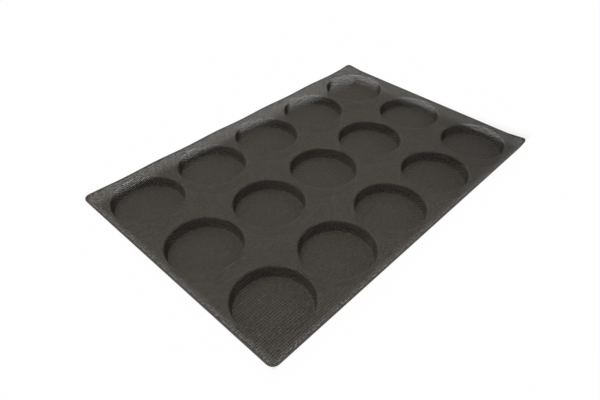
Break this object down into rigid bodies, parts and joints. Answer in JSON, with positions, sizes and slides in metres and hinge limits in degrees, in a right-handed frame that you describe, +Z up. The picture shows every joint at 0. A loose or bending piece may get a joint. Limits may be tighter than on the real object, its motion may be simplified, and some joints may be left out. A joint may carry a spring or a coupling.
{
  "type": "flexible bun mould",
  "caption": "Flat flexible baking sheet of silicone-coated open mesh with a grid of shallow round bun cups and a sealed edge; it bends between the cup columns and the cup floors push up.",
  "frame": {"origin": "on the surface the mould stands on, under the middle of the sheet", "axes": "+X along the long side of the sheet, +Y from the front row of cups to the back row, +Z up out of the cups"},
  "size_m": [0.585, 0.385, 0.0192],
  "materials": {
    "coated_mesh": "satin silicone coat over a fine open square weave, dark warm grey",
    "edge_silicone": "smooth solid silicone bead, darker than the mesh"
  },
  "bodies": {
    "panel_1": {"web_panel_1": "coated_mesh", "edge_seal_1": "edge_silicone", "cup_wall_1_front": "coated_mesh", "cup_wall_1_middle": "coated_mesh", "cup_wall_1_back": "coated_mesh"},
    "floor_1_front": {"cup_floor_1_front": "coated_mesh"},
    "floor_1_middle": {"cup_floor_1_middle": "coated_mesh"},
    "floor_1_back": {"cup_floor_1_back": "coated_mesh"},
    "panel_2": {"web_panel_2": "coated_mesh", "edge_seal_2_front": "edge_silicone", "edge_seal_2_back": "edge_silicone", "cup_wall_2_front": "coated_mesh", "cup_wall_2_middle": "coated_mesh", "cup_wall_2_back": "coated_mesh"},
    "floor_2_front": {"cup_floor_2_front": "coated_mesh"},
    "floor_2_middle": {"cup_floor_2_middle": "coated_mesh"},
    "floor_2_back": {"cup_floor_2_back": "coated_mesh"},
    "panel_3": {"web_panel_3": "coated_mesh", "edge_seal_3_front": "edge_silicone", "edge_seal_3_back": "edge_silicone", "cup_wall_3_front": "coated_mesh", "cup_wall_3_middle": "coated_mesh", "cup_wall_3_back": "coated_mesh"},
    "floor_3_front": {"cup_floor_3_front": "coated_mesh"},
    "floor_3_middle": {"cup_floor_3_middle": "coated_mesh"},
    "floor_3_back": {"cup_floor_3_back": "coated_mesh"},
    "panel_4": {"web_panel_4": "coated_mesh", "edge_seal_4_front": "edge_silicone", "edge_seal_4_back": "edge_silicone", "cup_wall_4_front": "coated_mesh", "cup_wall_4_middle": "coated_mesh", "cup_wall_4_back": "coated_mesh"},
    "floor_4_front": {"cup_floor_4_front": "coated_mesh"},
    "floor_4_middle": {"cup_floor_4_middle": "coated_mesh"},
    "floor_4_back": {"cup_floor_4_back": "coated_mesh"},
    "panel_5": {"web_panel_5": "coated_mesh", "edge_seal_5": "edge_silicone", "cup_wall_5_front": "coated_mesh", "cup_wall_5_middle": "coated_mesh", "cup_wall_5_back": "coated_mesh"},
    "floor_5_front": {"cup_floor_5_front": "coated_mesh"},
    "floor_5_middle": {"cup_floor_5_middle": "coated_mesh"},
    "floor_5_back": {"cup_floor_5_back": "coated_mesh"}
  },
  "joints": [
    {"name": "flex_2_3", "type": "hinge", "parent": "panel_3", "child": "panel_2", "pos_m": [-0.0572, 0, 0.0185], "axis": [0, 1, 0], "range_deg": [-25, 25], "stiffness_Nm_per_rad": 0.6},
    {"name": "flex_1_2", "type": "hinge", "parent": "panel_2", "child": "panel_1", "pos_m": [-0.1716, 0, 0.0185], "axis": [0, 1, 0], "range_deg": [-25, 25], "stiffness_Nm_per_rad": 0.6},
    {"name": "flex_3_4", "type": "hinge", "parent": "panel_3", "child": "panel_4", "pos_m": [0.0572, 0, 0.0185], "axis": [0, -1, 0], "range_deg": [-25, 25], "stiffness_Nm_per_rad": 0.6},
    {"name": "flex_4_5", "type": "hinge", "parent": "panel_4", "child": "panel_5", "pos_m": [0.1716, 0, 0.0185], "axis": [0, -1, 0], "range_deg": [-25, 25], "stiffness_Nm_per_rad": 0.6},
    {"name": "push_up_1_front", "type": "slide", "parent": "panel_1", "child": "floor_1_front", "axis": [0, 0, 1], "range_m": [0, 0.01], "stiffness_N_per_m": 600},
    {"name": "push_up_1_middle", "type": "slide", "parent": "panel_1", "child": "floor_1_middle", "axis": [0, 0, 1], "range_m": [0, 0.01], "stiffness_N_per_m": 600},
    {"name": "push_up_1_back", "type": "slide", "parent": "panel_1", "child": "floor_1_back", "axis": [0, 0, 1], "range_m": [0, 0.01], "stiffness_N_per_m": 600},
    {"name": "push_up_2_front", "type": "slide", "parent": "panel_2", "child": "floor_2_front", "axis": [0, 0, 1], "range_m": [0, 0.01], "stiffness_N_per_m": 600},
    {"name": "push_up_2_middle", "type": "slide", "parent": "panel_2", "child": "floor_2_middle", "axis": [0, 0, 1], "range_m": [0, 0.01], "stiffness_N_per_m": 600},
    {"name": "push_up_2_back", "type": "slide", "parent": "panel_2", "child": "floor_2_back", "axis": [0, 0, 1], "range_m": [0, 0.01], "stiffness_N_per_m": 600},
    {"name": "push_up_3_front", "type": "slide", "parent": "panel_3", "child": "floor_3_front", "axis": [0, 0, 1], "range_m": [0, 0.01], "stiffness_N_per_m": 600},
    {"name": "push_up_3_middle", "type": "slide", "parent": "panel_3", "child": "floor_3_middle", "axis": [0, 0, 1], "range_m": [0, 0.01], "stiffness_N_per_m": 600},
    {"name": "push_up_3_back", "type": "slide", "parent": "panel_3", "child": "floor_3_back", "axis": [0, 0, 1], "range_m": [0, 0.01], "stiffness_N_per_m": 600},
    {"name": "push_up_4_front", "type": "slide", "parent": "panel_4", "child": "floor_4_front", "axis": [0, 0, 1], "range_m": [0, 0.01], "stiffness_N_per_m": 600},
    {"name": "push_up_4_middle", "type": "slide", "parent": "panel_4", "child": "floor_4_middle", "axis": [0, 0, 1], "range_m": [0, 0.01], "stiffness_N_per_m": 600},
    {"name": "push_up_4_back", "type": "slide", "parent": "panel_4", "child": "floor_4_back", "axis": [0, 0, 1], "range_m": [0, 0.01], "stiffness_N_per_m": 600},
    {"name": "push_up_5_front", "type": "slide", "parent": "panel_5", "child": "floor_5_front", "axis": [0, 0, 1], "range_m": [0, 0.01], "stiffness_N_per_m": 600},
    {"name": "push_up_5_middle", "type": "slide", "parent": "panel_5", "child": "floor_5_middle", "axis": [0, 0, 1], "range_m": [0, 0.01], "stiffness_N_per_m": 600},
    {"name": "push_up_5_back", "type": "slide", "parent": "panel_5", "child": "floor_5_back", "axis": [0, 0, 1], "range_m": [0, 0.01], "stiffness_N_per_m": 600}
  ]
}
